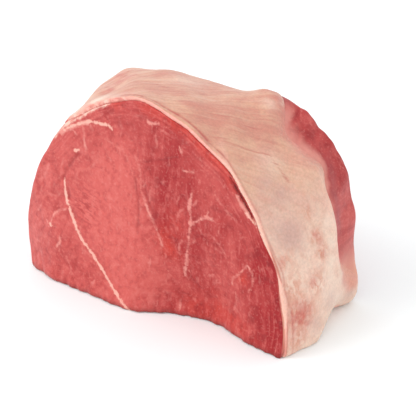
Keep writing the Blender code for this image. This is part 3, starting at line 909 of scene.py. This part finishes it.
# Noise: the size in mm of its bumps along each axis, and its detail, roughness and distortion
for name, where, sizes, detail, roughness, distortion in (
    # slow drifts of tone, and a fine grit
    ("drift", place, (25.0, 25.0, 25.0), 3.0, 0.60, 0.0),
    ("cloud", place, (7.7, 7.7, 7.7), 3.0, 0.60, 0.0),
    ("fine", place, (1.67, 1.67, 1.67), 2.0, 0.60, 0.0),
    # streaks that run askew round the joint, and wider bands of them
    ("grain", askew, (34.0, 3.2, 1.0), 3.0, 0.60, 0.35),
    ("band", askew, (70.0, 9.0, 1.0), 2.0, 0.55, 0.40),
    # layers of fat in the cut edge, and flecks in the tan marks
    ("layers", round_rim, (14.3, 1.67, 1.0), 3.0, 0.60, 0.30),
    ("flecks", place, (3.85, 3.85, 6.7), 3.0, 0.60, 0.60),
):
    spread = add(tree, "ShaderNodeVectorMath", {0: where, 1: sizes}, operation="DIVIDE")
    shape = {"Vector": spread, "Scale": 1.0, "Detail": detail, "Roughness": roughness}
    shape["Distortion"] = distortion
    held[name] = add(tree, "ShaderNodeTexNoise", shape)

# On the cut edge: the place of a thin red line in it, 3.9 mm from the lean and nearer low on the
# right, where the fat past the line is plain
low_right = {0: held["low_right"], 1: 2.1, 2: held["from_rim"]}
held["rim_place"] = add(tree, "ShaderNodeMath", low_right, operation="MULTIPLY_ADD")
line = add(tree, "ShaderNodeMath", {0: held["rim_place"], 1: 3.9}, operation="SUBTRACT")
held["line_gap"] = add(tree, "ShaderNodeMath", {0: line}, operation="ABSOLUTE")
layered = {0: held["cut_edge"], 1: held["left_crown"]}
held["layered"] = add(tree, "ShaderNodeMath", layered, operation="MULTIPLY")

# Shares that rise or fall smoothly, from start to end, as a value goes from low to high
for name, value, low, high, start, end in (
    ("plain", "low_side_painted_light", 0.0, 0.8, 0.42, 0.06),
    ("past_line", "rim_place", 3.4, 4.0, 0.0, 1.0),
    ("uneven", "grain", 0.35, 0.65, -1.4, 1.2),
    ("speckle", "fine", 0.3, 0.7, 0.93, 1.05),
):
    limits = {0: held[value], 1: low, 2: high, 3: start, 4: end}
    held[name] = add(tree, "ShaderNodeMapRange", limits, interpolation_type="SMOOTHSTEP")
past_line = {0: held["past_line"], 1: held["low_right"]}
past_line = add(tree, "ShaderNodeMath", past_line, operation="MULTIPLY")
pale_edge = {0: held["cut_edge"], 1: past_line}
held["pale_edge"] = add(tree, "ShaderNodeMath", pale_edge, operation="SUBTRACT")
streaked = {0: held["red_streak"], 1: held["uneven"]}
held["streaked"] = add(tree, "ShaderNodeMath", streaked, operation="ADD")

# Colours, each laid over those above it in the area named first. Its share there goes from start
# to end as the value named next goes from low to high.
tone = linear("#D7A489")
for area, value, low, high, start, end, code in (
    # pinker and paler bands, painted light on the low side, and streaks
    ("everywhere", "drift", 0.38, 0.62, 0.0, 1.0, "#CB8C79"),
    ("everywhere", "band", 0.50, 0.66, 0.0, 0.45, "#CC8473"),
    ("everywhere", "band", 0.48, 0.34, 0.0, 0.40, "#D9AF94"),
    ("low_side_painted_light", "cloud", 0.3, 0.6, 0.55, 0.95, "#EBCBB8"),
    ("plain", "grain", 0.50, 0.70, 0.0, 1.0, "#C4776A"),
    ("everywhere", "grain", 0.47, 0.30, 0.0, 0.30, "#E0BBA5"),
    # thick cream fat and painted highlight, clear grey skin, tan flecks, red streaks and blood
    ("cream_and_highlight_spots", "cloud", 0.3, 0.6, 0.85, 1.0, "#ECD2C0"),
    ("grey_spots", "cloud", 0.3, 0.6, 0.75, 1.0, "#C9A195"),
    ("tan_spots", "flecks", 0.40, 0.60, 0.0, 1.0, "#D28D75"),
    ("everywhere", "streaked", -1.8, 1.2, 0.0, 0.60, "#BE6A5E"),
    ("red_spots", "cloud", 0.26, 0.54, 0.0, 1.0, "#C66A5C"),
    # towards the bare strip a pale band, then salmon pink as the muscle beside it, and tan at the foot
    ("strip_band", "cloud", 0.3, 0.7, 0.90, 1.0, "#EDBFAC"),
    ("fading", "cloud", 0.3, 0.7, 0.95, 1.0, SALMON),
    ("foot_tan", "cloud", 0.3, 0.6, 0.40, 0.90, TAN),
    # the cut edge, brightest low on the right, with layers of red and cream on the left of the crown
    ("pale_edge", "cloud", 0.3, 0.7, 0.95, 1.0, "#EDAB9C"),
    ("low_right", "rim_place", 3.4, 2.6, 0.0, 1.0, "#F0BDAA"),
    ("layered", "layers", 0.47, 0.60, 0.0, 0.75, "#CB6C62"),
    ("layered", "layers", 0.46, 0.34, 0.0, 0.80, "#F3DCCB"),
    ("cut_edge", "line_gap", 0.2, 0.9, 0.85, 0.0, "#BC6C5C"),
    # the red groove behind it, and the muscle that shows where the cover is worn away
    ("groove", "cloud", 0.35, 0.55, 0.30, 0.90, "#B8524A"),
    ("worn", "cloud", 0.3, 0.7, 0.95, 1.0, "#A32C2D"),
    ("worn", "cloud", 0.36, 0.62, 0.0, 1.0, "#CB5C55"),
):
    limits = {0: held[value], 1: low, 2: high, 3: start, 4: end}
    share = add(tree, "ShaderNodeMapRange", limits, interpolation_type="SMOOTHSTEP")
    share = add(tree, "ShaderNodeMath", {0: share, 1: held[area]}, operation="MULTIPLY")
    laid = {0: share, COLOUR_A: tone, COLOUR_B: linear(code)}
    tone = add(tree, "ShaderNodeMix", laid, MIXED_COLOUR, data_type="RGBA")
speckled = {0: 1.0, COLOUR_A: tone, COLOUR_B: held["speckle"]}
tone = add(
    tree, "ShaderNodeMix", speckled, MIXED_COLOUR, data_type="RGBA", blend_type="MULTIPLY"
)

# Streaks, lumps and grit stand up to 0.5 mm high under the skin
height = 0.0
for name, share in (("grain", 0.5), ("cloud", 0.3), ("fine", 0.12)):
    height = add(tree, "ShaderNodeMath", {0: held[name], 1: share, 2: height}, operation="MULTIPLY_ADD")
raised = {"Strength": 0.7, "Distance": 0.0010, "Height": height}
gloss = {0: held["drift"], 1: 0.3, 2: 0.7, 3: 0.36, 4: 0.54}
shader = tree.nodes["Principled BSDF"]
tree.links.new(tone, shader.inputs["Base Color"])
tree.links.new(add(tree, "ShaderNodeBump", raised), shader.inputs["Normal"])
tree.links.new(add(tree, "ShaderNodeMapRange", gloss), shader.inputs["Roughness"])
shader.inputs["IOR"].default_value = 1.44
shader.inputs["Subsurface Weight"].default_value = 0.25
shader.inputs["Subsurface Radius"].default_value = (1.0, 0.55, 0.40)
shader.inputs["Subsurface Scale"].default_value = 0.003
fat.data.materials.append(skin)
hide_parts("fat_cover")
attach(fat, "root")


# The white board that the joint stands on, lit until it is as white as the paper behind it. Matt
# painted board; not part of the joint.
bpy.ops.mesh.primitive_plane_add(size=6.0, location=(0.0, 0.0, 0.0))
floor = bpy.context.object
floor.name = "floor"
board = bpy.data.materials.new("matt_white_board")
board.use_nodes = True
shader = board.node_tree.nodes["Principled BSDF"]
shader.inputs["Base Color"].default_value = linear("#FBFFFF")
shader.inputs["Roughness"].default_value = 0.9
shader.inputs["Specular IOR Level"].default_value = 0.1
floor.data.materials.append(board)


# Studio light: a white surround, and one large soft panel high on the left of the camera
PANEL_PLACE = Vector((-0.85, -1.00, 1.20))
PANEL_AIM = Vector((0.0, 0.0, 0.06))
world = bpy.data.worlds.new("white_surround")
world.use_nodes = True
surround = world.node_tree.nodes["Background"]
surround.inputs["Color"].default_value = (0.985, 0.99, 1.0, 1.0)
surround.inputs["Strength"].default_value = 1.05
bpy.context.scene.world = world
bpy.ops.object.light_add(type="AREA", location=PANEL_PLACE)
panel = bpy.context.object
panel.name = "key_panel"
panel.data.size = 0.9
panel.data.energy = 10.1
panel.rotation_euler = (PANEL_AIM - PANEL_PLACE).to_track_quat("-Z", "Y").to_euler()


# The camera stands to the right of the cut face and looks 27 degrees down, with a long lens
CAMERA_PLACE = (0.45648, -0.63606, 0.45860)
CAMERA_LOOKS = Vector((-0.50676, 0.73286, -0.45399))
bpy.ops.object.camera_add(location=CAMERA_PLACE)
camera = bpy.context.object
camera.rotation_euler = CAMERA_LOOKS.to_track_quat("-Z", "Y").to_euler()
camera.data.lens = 110.0
camera.data.sensor_width = 36.0
bpy.context.scene.camera = camera
bpy.context.scene.view_settings.view_transform = "Standard"
